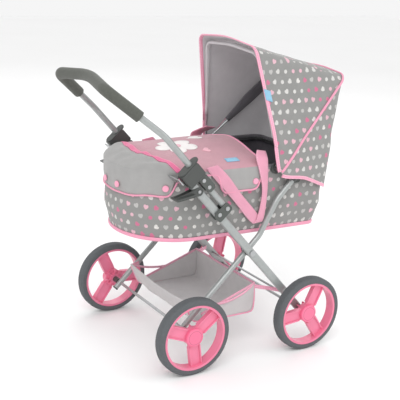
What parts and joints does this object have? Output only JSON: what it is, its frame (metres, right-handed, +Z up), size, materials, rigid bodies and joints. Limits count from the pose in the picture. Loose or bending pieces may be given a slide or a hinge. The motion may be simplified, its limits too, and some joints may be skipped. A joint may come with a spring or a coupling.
{
  "type": "doll pram",
  "caption": "Toy doll pram: fabric carrycot with folding hood and apron on a folding cross frame with a bowed push handle, spoked wheels and a fabric basket.",
  "frame": {"origin": "on the floor, under the middle of the bounding box", "axes": "+X is the travel direction, towards the hood end, +Y is the left side, +Z is up"},
  "size_m": [0.5422, 0.354, 0.6012],
  "materials": {
    "frame_enamel": "satin light grey enamel",
    "steel": "zinc plated",
    "dark_plastic": "fine texture",
    "grip_foam": "matte foam",
    "tyre_grey": "matte foam tyre",
    "wheel_pink": "moulded, slight sheen",
    "print_fabric": "woven, printed",
    "dark_fabric": "woven",
    "pink_fabric": "padded, stitched",
    "pink_webbing": "woven webbing",
    "floor_board": "fibreboard",
    "button_pink": "moulded"
  },
  "bodies": {
    "rear_frame": {"rear_leg_left": "frame_enamel", "rear_leg_right": "frame_enamel", "rear_leg_plugs": "dark_plastic", "rear_axle": "steel", "rear_axle_clips": "dark_plastic", "rear_spacers": "dark_plastic", "scissor_rivets": "steel", "scissor_washers": "dark_plastic", "cot_shell": "print_fabric", "cot_floor": "floor_board", "cot_rim": "steel", "mattress": "dark_fabric", "cot_sockets": "dark_plastic", "cot_hangers": "steel", "hood_hinges": "dark_plastic", "hood_back_panel": "print_fabric", "apron": "pink_fabric", "apron_buttons": "button_pink", "carry_strap_left": "pink_webbing", "carry_strap_right": "pink_webbing", "basket": "print_fabric", "basket_side_straps": "pink_webbing", "basket_ties": "pink_webbing"},
    "front_frame": {"front_leg_left": "frame_enamel", "front_leg_right": "frame_enamel", "front_leg_plugs": "dark_plastic", "front_axle": "steel", "front_axle_clips": "dark_plastic", "front_spacers": "dark_plastic", "front_brace": "steel", "handle_brackets": "steel", "bracket_rivets": "steel", "handle_pivots": "steel", "lever_pins": "steel"},
    "handle": {"handle_tube": "frame_enamel", "foam_grip": "grip_foam", "lock_plates": "steel", "plate_rivets": "steel"},
    "collar_left": {"lock_collar_left": "dark_plastic", "collar_flange_left": "dark_plastic"},
    "collar_right": {"lock_collar_right": "dark_plastic", "collar_flange_right": "dark_plastic"},
    "lever_left": {"release_lever_left": "dark_plastic"},
    "lever_right": {"release_lever_right": "dark_plastic"},
    "hood_rear": {"hood_rear_bow": "steel"},
    "hood_front": {"hood_front_bow": "steel", "hood_canopy": "print_fabric"},
    "wheel_front_left": {"tyre_front_left": "tyre_grey", "wheel_front_left": "wheel_pink", "hub_cap_front_left": "wheel_pink"},
    "wheel_front_right": {"tyre_front_right": "tyre_grey", "wheel_front_right": "wheel_pink", "hub_cap_front_right": "wheel_pink"},
    "wheel_rear_left": {"tyre_rear_left": "tyre_grey", "wheel_rear_left": "wheel_pink", "hub_cap_rear_left": "wheel_pink"},
    "wheel_rear_right": {"tyre_rear_right": "tyre_grey", "wheel_rear_right": "wheel_pink", "hub_cap_rear_right": "wheel_pink"}
  },
  "joints": [
    {"name": "scissor_fold", "type": "hinge", "parent": "rear_frame", "child": "front_frame", "pos_m": [0.02983, 0, 0.21092], "axis": [0, 1, 0], "range_deg": [0, 36], "deforming": ["basket", "basket_side_straps", "basket_ties"]},
    {"name": "handle_fold", "type": "hinge", "parent": "front_frame", "child": "handle", "pos_m": [-0.03566, 0, 0.30783], "axis": [0, 1, 0], "range_deg": [0, 40]},
    {"name": "collar_left_slide", "type": "slide", "parent": "handle", "child": "collar_left", "axis": [-0.6858, 0, 0.7278], "range_m": [0, 0.02]},
    {"name": "collar_right_slide", "type": "slide", "parent": "handle", "child": "collar_right", "axis": [-0.6858, 0, 0.7278], "range_m": [0, 0.02]},
    {"name": "lever_left_squeeze", "type": "hinge", "parent": "front_frame", "child": "lever_left", "pos_m": [-0.09722, 0.142, 0.34573], "axis": [0, -1, 0], "range_deg": [0, 30], "stiffness_Nm_per_rad": 0.05, "springref_deg": -28.65},
    {"name": "lever_right_squeeze", "type": "hinge", "parent": "front_frame", "child": "lever_right", "pos_m": [-0.09722, -0.142, 0.34573], "axis": [0, -1, 0], "range_deg": [0, 30], "stiffness_Nm_per_rad": 0.05, "springref_deg": -28.65},
    {"name": "hood_fold", "type": "hinge", "parent": "hood_rear", "child": "hood_front", "pos_m": [0.08941, 0, 0.368], "axis": [0, 1, 0], "range_deg": [0, 50], "deforming": ["hood_canopy"]},
    {"name": "hood_back", "type": "hinge", "parent": "rear_frame", "child": "hood_rear", "pos_m": [0.08941, 0, 0.368], "axis": [0, 1, 0], "range_deg": [0, 25], "deforming": ["hood_back_panel"]},
    {"name": "wheel_front_left_spin", "type": "hinge", "parent": "front_frame", "child": "wheel_front_left", "pos_m": [0.15791, 0.165, 0.075], "axis": [0, 1, 0], "continuous": true},
    {"name": "wheel_front_right_spin", "type": "hinge", "parent": "front_frame", "child": "wheel_front_right", "pos_m": [0.15791, -0.165, 0.075], "axis": [0, 1, 0], "continuous": true},
    {"name": "wheel_rear_left_spin", "type": "hinge", "parent": "rear_frame", "child": "wheel_rear_left", "pos_m": [-0.10609, 0.165, 0.075], "axis": [0, 1, 0], "continuous": true},
    {"name": "wheel_rear_right_spin", "type": "hinge", "parent": "rear_frame", "child": "wheel_rear_right", "pos_m": [-0.10609, -0.165, 0.075], "axis": [0, 1, 0], "continuous": true}
  ],
  "couplings": [
    {"joint": "hood_back", "follows": "hood_fold", "ratio": 0.5}
  ]
}
